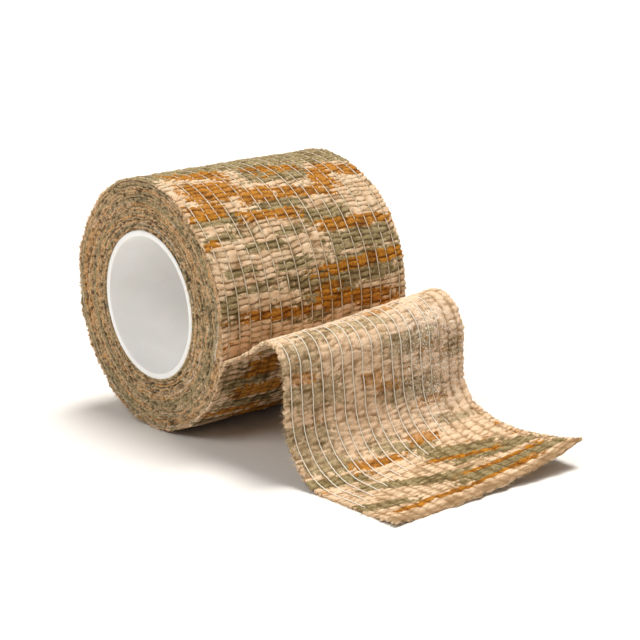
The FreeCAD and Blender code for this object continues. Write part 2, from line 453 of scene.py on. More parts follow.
def cloth_band(name, start, stop, material, dense_inside=True):
    """The wrap from one distance along to another, as one closed mesh."""
    rows, count = int(round((stop - start) / cloth_step)) + 1, len(columns)
    along, across = np.meshgrid(np.linspace(start, stop, rows), columns, indexing="ij")
    edge = np.abs(across / half_width) ** 16
    wavy_across = across + edge * np.where(across > 0, edge_waviness(along, 1), edge_waviness(along, -1))
    wavy_along = along + end_waviness(across) * smooth((along - tail_length + 4) / 4)
    spot, normal = strip_surface(wavy_along, wavy_across)
    middle, printed, inner = relief(along, across)
    sage, ochre = print_fields(along, across)
    # hollow: how deep each point sits in a crease, which the material uses for painted shade
    hollow = 1 - np.clip((printed - web_half) / (0.75 * puff_height), 0, 1)
    hollow_inside = 0.78 - 0.78 * np.clip((-inner - web_half) / (0.55 * inner_puff_height), 0, 1)
    outside_points = spot + normal * (middle + printed)[..., None]
    keep_above_table(outside_points)
    quads = grid_quads(0, rows, count)
    if dense_inside:
        inside_points = spot + normal * (middle + inner)[..., None]
        inner_count, picked = count, slice(None)
    else:
        inside_points = (spot + normal * (middle - web_half)[..., None])[:, [0, -1]]
        inner_count, picked = 2, [0, -1]
    keep_above_table(inside_points, web_half)
    first = rows * count
    p0, q0 = np.arange(rows) * count, first + np.arange(rows) * inner_count
    p1, q1 = p0 + count - 1, q0 + inner_count - 1
    near = np.stack([p0[:-1], p0[1:], q0[1:], q0[:-1]], axis=-1)
    far = np.stack([p1[:-1], q1[:-1], q1[1:], p1[1:]], axis=-1)
    top_row, end_row = np.arange(count), (rows - 1) * count + np.arange(count)
    under_row = first + np.arange(inner_count)
    under_end = first + (rows - 1) * inner_count + np.arange(inner_count)
    if dense_inside:
        start_cap = np.stack([top_row[:-1], under_row[:-1], under_row[1:], top_row[1:]], axis=-1)
        end_cap = np.stack([end_row[:-1], end_row[1:], under_end[1:], under_end[:-1]], axis=-1)
    else:
        start_cap = np.concatenate([top_row[:1], under_row, top_row[:0:-1]])[None]
        end_cap = np.concatenate([end_row, under_end[::-1]])[None]
    inside_quads = grid_quads(first, rows, inner_count, flip=True)
    groups = [quads, inside_quads, near, far, start_cap, end_cap]

    strip_u = np.concatenate([along.ravel(), along[:, picked].ravel()])
    strip_v = np.concatenate([across.ravel(), across[:, picked].ravel()])
    strip_mm = [pairs(strip_u[group], strip_v[group]) for group in groups]
    if dense_inside:
        baked = [bake_corners(quads, rows, count, (0.01, 0.92), (0.02, 0.48)),
                 bake_corners(inside_quads, rows, count, (0.01, 0.92), (0.52, 0.98), first)]
    else:
        middle_row = rows // 2
        second_half = (quads // count).min(axis=1) >= middle_row
        baked = np.zeros((len(quads), 4, 2))
        for half, low in ((False, 0.01), (True, 0.49)):
            part = quads[second_half == half]
            shown = bake_corners(part, rows - middle_row, count, (0.01, 0.97), (low, low + 0.46),
                                 first_row=middle_row if half else 0)
            baked[second_half == half] = shown.reshape(-1, 4, 2)
        baked = [baked.reshape(-1, 2),
                 bake_corners(inside_quads, rows, 2, (0.01, 0.92), (0.955, 0.965), first)]
    along_share = (strip_u - start) / (stop - start)
    across_share = (strip_v + half_width) / (2 * half_width)
    is_inside = np.arange(len(strip_u)) >= first
    edge_low = (0.484, 0.502) if dense_inside else (0.970, 0.982)
    for group, low in zip((near, far), edge_low):
        baked.append(pairs(0.01 + 0.91 * along_share[group], low + 0.006 * is_inside[group]))
    for group, left in ((start_cap, 0.935), (end_cap, 0.965)):
        if dense_inside:
            baked.append(pairs(left + 0.02 * is_inside[group], 0.02 + 0.96 * across_share[group]))
        else:
            low = 0.991 + (left - 0.935) / 10
            baked.append(pairs(0.01 + 0.9 * across_share[group], low + 0.002 * is_inside[group]))
    maps = {"strip_mm": np.concatenate(strip_mm), "OFBake": np.concatenate(baked)}
    fields = {
        "sage": np.concatenate([sage.ravel(), sage[:, picked].ravel()]),
        "ochre": np.concatenate([ochre.ravel(), ochre[:, picked].ravel()]),
        "hollow": np.concatenate([hollow.ravel(), hollow_inside[:, picked].ravel()]),
        "ink": np.where(is_inside, 0.72 + 0.26 * smooth((strip_u - 44) / 8), 0.94),
        "inner_side": is_inside.astype(float),
        "thin": is_inside * (1 - smooth((strip_u - 42) / 9)),
        "latex_and_painted_glints": is_inside * smooth(1.6 - np.hypot((strip_u - 31) / 11, (strip_v - 15) / 9)),
    }
    points = np.concatenate([outside_points.reshape(-1, 3), inside_points.reshape(-1, 3)])
    return make_mesh(name, points, groups, maps, fields, material)


# %% [markdown]
# ## The printed crinkle cloth, as a material
# The cloth is matt and a little hairy. Its colours come from the print fields on the mesh: above a
# half the ink is there, and fine noise frays the edge of each block, because ink bleeds along the
# fibres. The pinched hollows get a darker and warmer tone, because little light reaches them and
# what does has bounced off the cloth. A fine stretched noise gives the fibres, as colour and bump.
# On the tail's top side the web is thin, so the ink has bare spots, and one area has specks of latex.
# There the roughness drops in specks, and white specks in the colour are painted glints, with darker
# specks among them.

# %% Small helpers for materials
class Recipe:
    """A new material, with short ways to add nodes."""

    def __init__(self, name):
        self.material = bpy.data.materials.new(name)
        self.material.use_nodes = True
        self.nodes = self.material.node_tree.nodes
        self.links = self.material.node_tree.links
        self.shader = self.nodes["Principled BSDF"]

    def link(self, value, socket):
        if isinstance(value, bpy.types.NodeSocket):
            self.links.new(value, socket)
        elif isinstance(value, tuple) and len(value) == 3 and socket.type == "RGBA":
            socket.default_value = value + (1,)
        else:
            socket.default_value = value

    def field(self, name):
        node = self.nodes.new("ShaderNodeAttribute")
        node.attribute_name = name
        return node.outputs["Fac"]

    def place(self, uv_map, scale=(1, 1, 1)):
        node = self.nodes.new("ShaderNodeUVMap")
        node.uv_map = uv_map
        mapping = self.nodes.new("ShaderNodeMapping")
        mapping.inputs["Scale"].default_value = scale
        self.links.new(node.outputs["UV"], mapping.inputs["Vector"])
        return mapping.outputs["Vector"]

    def noise(self, place, scale, detail=2.0, roughness=0.5):
        node = self.nodes.new("ShaderNodeTexNoise")
        self.link(place, node.inputs["Vector"])
        node.inputs["Scale"].default_value = scale
        node.inputs["Detail"].default_value = detail
        node.inputs["Roughness"].default_value = roughness
        return node.outputs["Fac"]

    def math(self, operation, a, b):
        node = self.nodes.new("ShaderNodeMath")
        node.operation = operation
        self.link(a, node.inputs[0])
        self.link(b, node.inputs[1])
        return node.outputs[0]

    def times(self, a, b):
        return self.math("MULTIPLY", a, b)

    def plus(self, a, b):
        return self.math("ADD", a, b)

    def less(self, a, b):
        return self.math("SUBTRACT", a, b)

    def ramp(self, value, low, high, out_low=0.0, out_high=1.0):
        node = self.nodes.new("ShaderNodeMapRange")
        node.interpolation_type = "SMOOTHSTEP"
        for socket, amount in zip(("Value", "From Min", "From Max", "To Min", "To Max"),
                                  (value, low, high, out_low, out_high)):
            self.link(amount, node.inputs[socket])
        return node.outputs["Result"]

    def mix(self, share, a, b, blend="MIX"):
        node = self.nodes.new("ShaderNodeMix")
        node.data_type = "RGBA"
        node.blend_type = blend
        sockets = [socket for socket in node.inputs if socket.type == "RGBA"]
        self.link(share, node.inputs["Factor"])
        self.link(a, sockets[0])
        self.link(b, sockets[1])
        return next(socket for socket in node.outputs if socket.type == "RGBA")

    def finish(self, colour, roughness):
        self.link(colour, self.shader.inputs["Base Color"])
        self.link(roughness, self.shader.inputs["Roughness"])
        return self.material

    def bump(self, height, strength, distance):
        node = self.nodes.new("ShaderNodeBump")
        node.inputs["Strength"].default_value = strength
        node.inputs["Distance"].default_value = distance
        self.link(height, node.inputs["Height"])
        self.link(node.outputs["Normal"], self.shader.inputs["Normal"])


# %% The cloth's colours and finish
sand, pale_sand, deep_sand = (0.78, 0.53, 0.32), (0.88, 0.665, 0.445), (0.68, 0.40, 0.20)
sage_ink, deep_sage = (0.39, 0.305, 0.148), (0.26, 0.19, 0.082)
ochre_ink, rust_ink = (0.56, 0.225, 0.012), (0.37, 0.12, 0.005)
inner_sand = (0.90, 0.635, 0.415)
painted_glint_white, latex_shade = (0.98, 0.96, 0.92), (0.30, 0.24, 0.16)
ink_edge = (0.43, 0.55)       # the print field's values between no ink and full ink


def crinkle_cloth(name):
    recipe = Recipe(name)
    place = recipe.place("strip_mm")
    fibres = recipe.place("strip_mm", (1.0, 2.6, 1.0))
    fine = recipe.noise(fibres, 3.6, 4.0, 0.72)
    patchy = recipe.noise(place, 0.35, 3.0)
    grain = recipe.noise(place, 1.6, 2.0)
    worn = recipe.noise(place, 0.95, 2.0, 0.6)
    fray = recipe.plus(recipe.times(recipe.less(fine, 0.5), 0.30),
                       recipe.times(recipe.less(worn, 0.52), 0.95))
    fray = recipe.times(fray, recipe.plus(1.0, recipe.times(recipe.field("thin"), 0.5)))
    inner_side = recipe.field("inner_side")
    warm_spots = recipe.times(recipe.ramp(grain, 0.50, 0.72, 0.0, 0.45),
                              recipe.less(1.0, recipe.times(inner_side, 0.7)))
    base = recipe.mix(recipe.ramp(patchy, 0.38, 0.62), sand, pale_sand)
    base = recipe.mix(warm_spots, base, deep_sand)
    base = recipe.mix(recipe.times(inner_side, 0.6), base, inner_sand)
    sage = recipe.ramp(recipe.plus(recipe.field("sage"), fray), *ink_edge)
    ochre = recipe.ramp(recipe.plus(recipe.field("ochre"), fray), *ink_edge)
    sage_tone = recipe.mix(recipe.ramp(grain, 0.40, 0.65), sage_ink, deep_sage)
    ochre_tone = recipe.mix(recipe.ramp(grain, 0.42, 0.70), ochre_ink, rust_ink)
    bare = recipe.ramp(recipe.noise(place, 1.3, 3.0, 0.6), 0.42, 0.68, 0.0, 0.55)
    seen = recipe.times(recipe.field("ink"), recipe.less(1.0, recipe.times(bare, recipe.field("thin"))))
    colour = recipe.mix(recipe.times(sage, seen), base, sage_tone)
    colour = recipe.mix(recipe.times(ochre, seen), colour, ochre_tone)
    bead = recipe.noise(place, 2.7, 1.0, 0.5)
    latex_and_painted_glints = recipe.field("latex_and_painted_glints")
    # Painted glints: white specks where the latex lies stand in for light glancing off it, with darker
    # specks among them.
    colour = recipe.mix(recipe.times(recipe.ramp(bead, 0.58, 0.63), latex_and_painted_glints), colour, painted_glint_white)
    colour = recipe.mix(recipe.times(recipe.ramp(bead, 0.40, 0.34, 0.0, 0.5), latex_and_painted_glints), colour, latex_shade)
    speck = recipe.ramp(fine, 0.33, 0.67, 0.64, 1.25)
    # Painted shade: the colour darkens in the pinched hollows, and its green and blue drop there for the
    # warm bounce off the cloth.
    shade = recipe.ramp(recipe.field("hollow"), 0.06, 0.95, 1.10, 0.20)
    tone = recipe.times(speck, shade)
    grey = recipe.nodes.new("ShaderNodeCombineColor")
    for number, deepest in enumerate((1.0, 0.78, 0.44)):
        warm = recipe.ramp(recipe.field("hollow"), 0.15, 1.0, 1.0, deepest)
        recipe.link(recipe.times(tone, warm), grey.inputs[number])
    colour = recipe.mix(1.0, colour, grey.outputs[0], "MULTIPLY")
    dull = recipe.ramp(fine, 0.2, 0.8, 0.78, 0.98)
    glossy = recipe.times(recipe.times(recipe.ramp(bead, 0.58, 0.66), latex_and_painted_glints), 0.6)
    recipe.shader.inputs["Specular IOR Level"].default_value = 0.18
    recipe.bump(recipe.plus(fine, recipe.times(grain, 0.5)), 0.9, 0.00028)
    return recipe.finish(colour, recipe.less(dull, glossy))


printed_cloth = crinkle_cloth("printed crinkle cloth")

# %% [markdown]
# ## The cloth on the roll, and the pulled-out tail
# The wrap is one strip, but it crosses three hinge lines, so we make it as bands that meet in the
# middle of the straight runs. The bands share their end points exactly, so no seam shows. The outer
# turn rides on the roll.

# %% Bands of cloth
peel_seam, rise_seam, fall_seam = -6.0, 9.5, 29.0
turn_length = 2 * math.pi * (roll_radius - strip_thickness / 2)
tuck = 7.0                    # the turn beneath runs on under the peel line

roll_cover = cloth_band("roll_cover_cloth", -turn_length - tuck, peel_seam, printed_cloth,
                        dense_inside=False)
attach(roll_cover, "roll")
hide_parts("outer_turn_face_web", "outer_turn_inner_web")

peel_cloth = cloth_band("peel_cloth", peel_seam, rise_seam, printed_cloth)
crest_cloth = cloth_band("crest_cloth", rise_seam, fall_seam, printed_cloth)
flap_cloth = cloth_band("flap_cloth", fall_seam, tail_length, printed_cloth)


def on_centre_line(along):
    """A point of the strip's middle line, in metres."""
    return tuple(strip_points(np.array([float(along)]), np.array([0.0]))[0] * MM)


tail_bands = {
    "peel": (peel_cloth, "roll", "rise", -1.0, 4.0, ("rise_face_web", "rise_inner_web")),
    "crest": (crest_cloth, "rise", "fall", 12.0, 25.0, ("fall_face_web", "fall_inner_web")),
    "flap": (flap_cloth, "fall", "end_flap", 33.0, 50.0, ("flap_face_web", "flap_inner_web")),
}


def bend_like(word, piece):
    """Bakes the piece's placement into its mesh. The centre line is sampled where this band's bend starts
    and ends, but nothing bends the piece.
    """
    _, first_body, second_body, bend_from, bend_to, _ = tail_bands[word]
    on_centre_line(bend_from)
    on_centre_line(bend_to)
    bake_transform(piece)


for word, (piece, *_, nodes) in tail_bands.items():
    bend_like(word, piece)
    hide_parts(*nodes)
print("a point on the crest, in metres:", [round(value, 4) for value in on_centre_line(18.0)])

# %% [markdown]
# ## How much the cloth gathers
# Each band is a sheet that was cut flat and then gathered by its threads. The relaxed wrap is drawn
# in to about half of its stretched length, but most of that is finer than the puffs that we model.

# %% [markdown]
# ## The elastic threads
# Eighteen fine rubber threads run the length of the strip between the two webs. On the roll they show
# as thin pale lines, sunk between the puffs. On the tail we look at the other web, which is thinner
# there, so the same threads stand out white. Each one is a small six-sided tube that follows the
# strip's surface at its own column.

# %% Thread tubes
thread_radius = 0.115
thread_sides = 6
thread_sample = 0.42          # distance between a tube's rings
thread_turn = np.arange(thread_sides) * 2 * np.pi / thread_sides
straight_over = np.array([1.0, 0.0, 0.0])   # straight across the strip


def thread_material():
    recipe = Recipe("elastic thread")
    place = recipe.place("strip_mm")
    soil = recipe.noise(place, 0.8, 3.0)
    twist = recipe.noise(recipe.place("strip_mm", (3.0, 9.0, 1.0)), 3.0, 2.0)
    colour = recipe.mix(recipe.ramp(soil, 0.35, 0.7), (0.78, 0.68, 0.52), (0.60, 0.48, 0.32))
    colour = recipe.mix(recipe.ramp(recipe.field("inside"), 0.2, 0.8), colour, (0.86, 0.80, 0.67))
    recipe.bump(twist, 0.3, 0.00005)
    return recipe.finish(colour, recipe.ramp(twist, 0.3, 0.7, 0.45, 0.7))


elastic = thread_material()


def thread_height(along, across):
    """How far a thread lies from the strip's middle, towards the printed side."""
    on_tail = smooth((along + 26) / 10)
    shown_to = 17 - 0.2 * (along - 15) - 34 * smooth((along - 46) / 20)
    sunk = smooth((across - shown_to) / 7) * smooth((along - 8) / 6)
    ripple = 0.03 * noise(along / 1.1, across, 93)
    return (1 - on_tail) * 0.22 - on_tail * (0.22 - 0.30 * sunk) + ripple


def thread_set(name, start, stop):
    rings = int(round((stop - start) / thread_sample)) + 1
    along = np.linspace(start, stop, rings)
    on_tail = smooth((along + 26) / 10)
    points, quads, caps, line_mm, baked = [], [], [], [], []
    i, j = np.meshgrid(np.arange(rings - 1), np.arange(thread_sides), indexing="ij")
    following = (j + 1) % thread_sides
    run_share = np.stack([i, i + 1, i + 1, i], axis=-1) / (rings - 1)
    for number in range(thread_count):
        home = np.full(rings, first_thread + number * thread_step)
        across = home + 0.07 * noise(along / 2.5, home * 3.1, 91)
        spot, normal = strip_surface(along, across)
        middle, _, _ = relief(along, home)
        centre = spot + normal * (middle + thread_height(along, home))[:, None]
        swell = thread_radius * (1 + 0.12 * noise(along / 0.9, home, 92))
        spoke = (np.cos(thread_turn)[None, :, None] * straight_over
                 + np.sin(thread_turn)[None, :, None] * normal[:, None])
        ring = centre[:, None] + swell[:, None, None] * spoke
        keep_above_table(ring, 0.01)
        first = number * rings * thread_sides
        quad = first + np.stack([i * thread_sides + j, (i + 1) * thread_sides + j,
                                 (i + 1) * thread_sides + following, i * thread_sides + following], axis=-1)
        quads.append(quad.reshape(-1, 4))
        low = (number + 0.1) / thread_count
        lane = 0.8 / thread_count / thread_sides
        u = run_share * 0.96 + 0.01
        v = low + lane * np.stack([j, j, j + 1, j + 1], axis=-1)
        baked.append(pairs(u, v))
        line_mm.append(pairs(start + (stop - start) * (u - 0.01) / 0.96, v * 20))
        caps.append(np.stack([first + np.arange(thread_sides),
                              first + (rings - 1) * thread_sides + np.arange(thread_sides)[::-1]]))
        points.append(ring.reshape(-1, 3))
    cap = np.concatenate(caps)
    disc = np.stack([0.98 + 0.005 * np.cos(thread_turn), 0.5 + 0.005 * np.sin(thread_turn)], axis=-1)
    baked.append(np.tile(disc, (len(cap), 1)))
    line_mm.append(np.tile(disc, (len(cap), 1)))
    maps = {"strip_mm": np.concatenate(line_mm), "OFBake": np.concatenate(baked)}
    fields = {"inside": np.tile(np.repeat(on_tail, thread_sides), thread_count)}
    piece = make_mesh(name, np.concatenate(points), [np.concatenate(quads), cap], maps, fields, elastic)
    return piece


roll_threads = thread_set("roll_cover_yarns", -turn_length - tuck, peel_seam)
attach(roll_threads, "roll")
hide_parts("outer_turn_threads")
thread_spans = {"peel": (peel_seam, rise_seam, "rise_threads"),
                "crest": (rise_seam, fall_seam, "fall_threads"),
                "flap": (fall_seam, tail_length - 0.3, "flap_threads")}
for word, (start, stop, node) in thread_spans.items():
    piece = thread_set(word + "_yarns", start, stop)
    bend_like(word, piece)
    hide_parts(node)

# %% [markdown]
# ## Loose fibres
# A non-woven web sheds a few fibres wherever it was cut. They're less than a tenth of a millimetre
# thick, but they soften the outline of the edges. Each fibre is a thin three-sided tube
# with a curl, rooted on the strip's edge. All the fibres of one band are one mesh, which moves like
# the band that they grow from.

# %% Fibre tubes
fibre_rings, fibre_sides = 5, 3
fibre_radius = 0.042
roll_fibres_per_mm, tail_fibres_per_mm, end_fibres = 3.2, 3.6, 110


def fibre_finish(name, light, dark):
    recipe = Recipe(name)
    tone = recipe.noise(recipe.place("strip_mm"), 0.7, 2.0)
    colour = recipe.mix(recipe.ramp(tone, 0.35, 0.65), light, dark)
    return recipe.finish(colour, recipe.ramp(tone, 0.3, 0.7, 0.6, 0.85))


cloth_fibre = fibre_finish("loose cloth fibre", (0.86, 0.66, 0.44), (0.60, 0.42, 0.22))


def fibre_tubes(name, roots, aims, lengths, radius, material, draw):
    """One mesh of curled, tapering fibres from roots (mm) along aims (unit vectors)."""
    count = len(roots)
    bend = draw.normal(size=(count, 3))
    bend -= (bend * aims).sum(axis=1, keepdims=True) * aims
    bend /= np.linalg.norm(bend, axis=1, keepdims=True)
    beside = np.cross(aims, bend)
    share = np.linspace(0, 1, fibre_rings)
    curl = draw.uniform(0.2, 0.8, count)[:, None] * share ** 2
    middle = roots[:, None] + lengths[:, None, None] * (
        aims[:, None] * (share - 0.25 * curl)[..., None] + bend[:, None] * curl[..., None])
    taper = radius * (1 - 0.6 * share)
    turn = np.arange(fibre_sides) * 2 * np.pi / fibre_sides
    rim = np.cos(turn)[:, None] * bend[:, None] + np.sin(turn)[:, None] * beside[:, None]
    points = middle[:, :, None] + taper[None, :, None, None] * rim[:, None]
    keep_above_table(points, 0.03)
    first = np.arange(count) * fibre_rings * fibre_sides
    i, j = np.meshgrid(np.arange(fibre_rings - 1), np.arange(fibre_sides), indexing="ij")
    here, after = i * fibre_sides, (i + 1) * fibre_sides
    following = (j + 1) % fibre_sides
    one = np.stack([here + j, here + following, after + following, after + j], axis=-1)
    quads = (first[:, None, None] + one.reshape(1, -1, 4)).reshape(-1, 4)
    last = (fibre_rings - 1) * fibre_sides
    caps = np.concatenate([first[:, None] + [2, 1, 0], first[:, None] + last + np.arange(fibre_sides)])
    side = int(np.ceil(np.sqrt(count)))
    cell_u, cell_v = (np.arange(count) % side + 0.1) / side, (np.arange(count) // side + 0.1) / side
    round_it = np.stack([j, j + 1, j + 1, j], axis=-1).reshape(1, -1, 4)
    up_it = np.stack([i, i, i + 1, i + 1], axis=-1).reshape(1, -1, 4)
    u = cell_u[:, None, None] + 0.8 / side * round_it / fibre_sides
    v = cell_v[:, None, None] + 0.8 / side * up_it / (fibre_rings - 1)
    cap_u = np.tile(cell_u, 2)[:, None] + 0.05 / side * np.array([0, 1, 0])
    cap_v = np.tile(cell_v, 2)[:, None] + 0.05 / side * np.array([0, 0, 1])
    baked = np.concatenate([pairs(u, v), pairs(cap_u, cap_v)])
    maps = {"strip_mm": baked * 60, "OFBake": baked}
    return make_mesh(name, points.reshape(-1, 3), [quads, caps], maps, {}, material)


def edge_fibres(name, start, stop, per_mm, seed, at_cut_end=0):
    draw = np.random.default_rng(seed)
    count = int((stop - start) * per_mm)
    along = draw.uniform(start, stop, 2 * count)
    side = np.repeat([-1.0, 1.0], count)
    across = side * half_width
    away = draw.uniform(-0.6, 0.6, 2 * count)
    if at_cut_end:
        along = np.concatenate([along, np.full(at_cut_end, stop)])
        across = np.concatenate([across, draw.uniform(-half_width, half_width, at_cut_end)])
        side = np.concatenate([side, draw.uniform(-0.4, 0.4, at_cut_end)])
        away = np.concatenate([away, np.full(at_cut_end, 1.0)])
    spot, normal = strip_surface(along, across)
    ahead = np.cross(normal, straight_over)
    lift = draw.uniform(-0.5, 0.7, len(along))
    aims = side[:, None] * straight_over + away[:, None] * ahead + lift[:, None] * normal
    aims /= np.linalg.norm(aims, axis=1, keepdims=True)
    roots = spot + normal * draw.uniform(-0.1, 0.25, len(along))[:, None] - aims * 0.1
    lengths = draw.uniform(0.4, 1.5, len(along))
    return fibre_tubes(name, roots, aims, lengths, fibre_radius, cloth_fibre, draw)


roll_fibres = edge_fibres("roll_cover_fibres", -turn_length, peel_seam, roll_fibres_per_mm, 201)
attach(roll_fibres, "roll")
fibre_spans = {"peel": (peel_seam, rise_seam, 0), "crest": (rise_seam, fall_seam, 0),
               "flap": (fall_seam, tail_length, end_fibres)}
for number, (word, (start, stop, at_end)) in enumerate(fibre_spans.items()):
    piece = edge_fibres(word + "_fibres", start, stop, tail_fibres_per_mm, 202 + number, at_end)
    bend_like(word, piece)

# %% [markdown]
# ## The edges of the wound turns
# From the side, the roll is a spiral of cut edges. Each turn's edge is a rough, lumpy ridge, and the
# print of that turn shows on it, so the face looks speckled in bands. We make the winding as one
# closed ring, and raise its two end faces: a ridge for each turn, which leans in and out a little
# from turn to turn, with small lumps and pits along it, and here and there a gap or a thread's end.

# %% The two end faces
around, through = 440, 108    # grid points around the ring, and from the core to the outside
start_gap = 0.02              # between the core and the first turn


def winding_limit(back):
    """The radius where the winding meets the outer turn, at an angle back from the peel line."""
    tucked = tuck / roll_radius
    limit = roll_radius - strip_thickness - turn_pitch * back / (2 * np.pi)
    return limit - turn_pitch * (1 - smooth((back - tucked) / 0.04)) + 0.10


def turn_number(radius, back):
    """Counts turns inwards from the outer one, with some unevenness in how tight they lie."""
    plain = (roll_radius - strip_thickness - turn_pitch * back / (2 * np.pi) - radius) / turn_pitch
    x, y = radius * np.cos(back), radius * np.sin(back)
    loose = 0.45 * noise(x / 4.5, y / 4.5, 101) + 0.46 * noise(x / 1.2, y / 1.2, 107)
    return plain + loose * smooth((radius - core_radius) / 1.2)


def end_face(side):
    back, share = np.meshgrid(np.arange(around) * 2 * np.pi / around, np.linspace(0, 1, through),
                              indexing="ij")
    limit = winding_limit(back)
    radius = core_radius + start_gap + share * (limit - core_radius - start_gap)
    turns_in = turn_number(radius, back)
    plain_turns = (limit - radius) / turn_pitch
    layer = np.floor(turns_in)
    inside_layer = turns_in - layer
    x, y = radius * np.cos(back), radius * np.sin(back)
    ridge = np.sin(np.pi * inside_layer) ** 0.7
    lean = 0.30 * noise(layer * 3.7 + x / 11, y / 11 + side, 102)
    distance = -(layer * 2 * np.pi + back) * radius
    lump = 0.6 * noise(x / 0.75 + 7 * side, y / 0.75, 103) + 0.8 * noise(x / 0.40, y / 0.40 + 7 * side, 104)
    pit = smooth((noise(x / 0.52, y / 0.52 + 5 * side, 105) - 0.52) / 0.2)
    wave = 0.25 * noise(x / 9, y / 9 + 3 * side, 108)
    gap = (1 - ridge) * smooth(0.3 + 1.6 * noise(layer * 1.9, distance / 40, 110))
    out = 0.22 * ridge + 0.17 * lump + lean + wave - 0.26 - 0.34 * pit - 0.22 * gap
    out = np.clip(out, -1.1, 0.35) * smooth(share / 0.03 + 0.3)
    beside_cover = smooth((1.2 - plain_turns) / 1.0)
    out = out * (1 - beside_cover) + beside_cover * (0.12 * lump - 0.12)
    band = noise(distance / 24, layer * 0.36 + side * 5, 106) + 0.5 * noise(distance / 11, layer * 0.8, 109)
    sage, ochre = smooth(0.5 + 1.3 * band), smooth(0.05 - 1.7 * band)
    thread_line = smooth(1 - np.abs(inside_layer - 0.1) / 0.13)
    thread_line = thread_line * smooth(3.2 * noise(layer * 2.7, distance / 19, 111) - 1.1)
    spot = unit(peel_angle + np.degrees(back)) * radius[..., None]
    points = np.concatenate([(side * (half_width + out))[..., None], spot], axis=-1)
    # Painted shade: pits and the gaps between turns get darker, ridges and lumps lighter, and thread ends
    # stay light.
    dark = np.clip(0.56 - 0.28 * ridge - 0.42 * lump + 0.7 * pit + 0.35 * gap, 0, 1)
    dark = dark * (1 - 0.8 * thread_line)
    fields = {"sage": sage, "ochre": ochre, "hollow": dark, "thread_line": thread_line}
    return points.reshape(-1, 3), {word: values.ravel() for word, values in fields.items()}


# %% The finish of the cut edges
def edge_finish():
    recipe = Recipe("cut edges of the turns")
    place = recipe.place("strip_mm")
    speckle = recipe.noise(place, 2.1, 2.0, 0.55)
    speckle_too = recipe.noise(recipe.place("strip_mm", (1.1, 0.9, 1.0)), 2.4, 2.0, 0.55)
    grit = recipe.noise(place, 4.4, 2.0, 0.7)
    colour = recipe.mix(recipe.ramp(grit, 0.35, 0.65), (0.68, 0.44, 0.245), (0.50, 0.31, 0.155))
    sage = recipe.plus(recipe.times(recipe.field("sage"), 0.24), speckle)
    colour = recipe.mix(recipe.ramp(sage, 0.56, 0.68, 0.0, 0.88), colour, (0.29, 0.235, 0.12))
    ochre = recipe.plus(recipe.times(recipe.field("ochre"), 0.26), speckle_too)
    colour = recipe.mix(recipe.ramp(ochre, 0.66, 0.82, 0.0, 0.75), colour, (0.48, 0.22, 0.05))
    colour = recipe.mix(recipe.ramp(speckle_too, 0.42, 0.34, 0.0, 0.6), colour, (0.78, 0.60, 0.42))
    colour = recipe.mix(recipe.times(recipe.field("thread_line"), 0.8), colour, (0.84, 0.80, 0.72))
    # Painted shade: the colour darkens where the end face's hollow field is high, in its pits and gaps.
    shade = recipe.ramp(recipe.field("hollow"), 0.12, 1.0, 1.12, 0.26)
    tone = recipe.times(shade, recipe.ramp(grit, 0.25, 0.75, 0.78, 1.2))
    grey = recipe.nodes.new("ShaderNodeCombineColor")
    for number in range(3):
        recipe.link(tone, grey.inputs[number])
    colour = recipe.mix(1.0, colour, grey.outputs[0], "MULTIPLY")
    recipe.shader.inputs["Specular IOR Level"].default_value = 0.2
    recipe.bump(grit, 0.5, 0.0001)
    return recipe.finish(colour, recipe.ramp(grit, 0.2, 0.8, 0.72, 0.95))


def wound_ring():
    near_points, near_fields = end_face(-1)
    far_points, far_fields = end_face(1)
    total = around * through
    i, j = np.meshgrid(np.arange(around), np.arange(through - 1), indexing="ij")
    following = (i + 1) % around
    near = np.stack([i * through + j, i * through + j + 1,
                     following * through + j + 1, following * through + j], axis=-1).reshape(-1, 4)
    far = near[:, ::-1] + total
    ring = np.arange(around)
    after = (ring + 1) % around
    outer = through - 1
    outside = np.stack([ring * through + outer, total + ring * through + outer,
                        total + after * through + outer, after * through + outer], axis=-1)
    bore = np.stack([ring * through, after * through, total + after * through, total + ring * through],
                    axis=-1)
    flat = np.concatenate([near_points[:, 1:], far_points[:, 1:]])
    on_near = (np.arange(2 * total) < total)[:, None]
    place = flat * (0.285 / roll_radius) + np.where(on_near, 0.29, 0.71)
    flat_mm = flat + np.where(on_near, 0.0, 90.0)
    wall_bake = []
    for low in (0.03, 0.10):
        u = np.stack([ring, ring, ring + 1, ring + 1], axis=-1) / around * 0.3 + 0.64
        wall_bake.append(pairs(u, low + 0.04 * np.array([0, 1, 1, 0])))
    maps = {
        "strip_mm": np.concatenate([flat_mm[group].reshape(-1, 2) for group in (near, far, outside, bore)]),
        "OFBake": np.concatenate([place[near].reshape(-1, 2), place[far].reshape(-1, 2)] + wall_bake),
    }
    fields = {word: np.concatenate([near_fields[word], far_fields[word]]) for word in near_fields}
    return make_mesh("wound_turns_edges", np.concatenate([near_points, far_points]),
                     [near, far, outside, bore], maps, fields, edge_finish())


winding = wound_ring()
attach(winding, "roll")
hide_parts("wound_turns")

# %% [markdown]
# ## The core
# The core is a short tube of white plastic. We turn it from a profile: two walls and four rounded
# rims. The real one is satin, with faint marks from the saw and the mould, so its roughness varies
# a little and very fine rings run around it.

# %% A turned tube with rounded rims
rim_round = 0.28
rim_steps = 6
core_steps = 192              # points around the tube


def core_profile():
    """(x, radius) pairs around the wall's section."""
    profile = []
    end = core_high[0]
    middle_out, middle_in = core_radius - rim_round, bore_radius + rim_round
    for side, centre, turns_from in ((1, middle_out, 90), (1, middle_in, 0),
                                     (-1, middle_in, -90), (-1, middle_out, -180)):
        for step in range(rim_steps + 1):
            turn = math.radians(turns_from - 90 * step / rim_steps)
            profile.append((side * (end - rim_round) + rim_round * math.cos(turn),
                            centre + rim_round * math.sin(turn)))
    return np.array(profile)


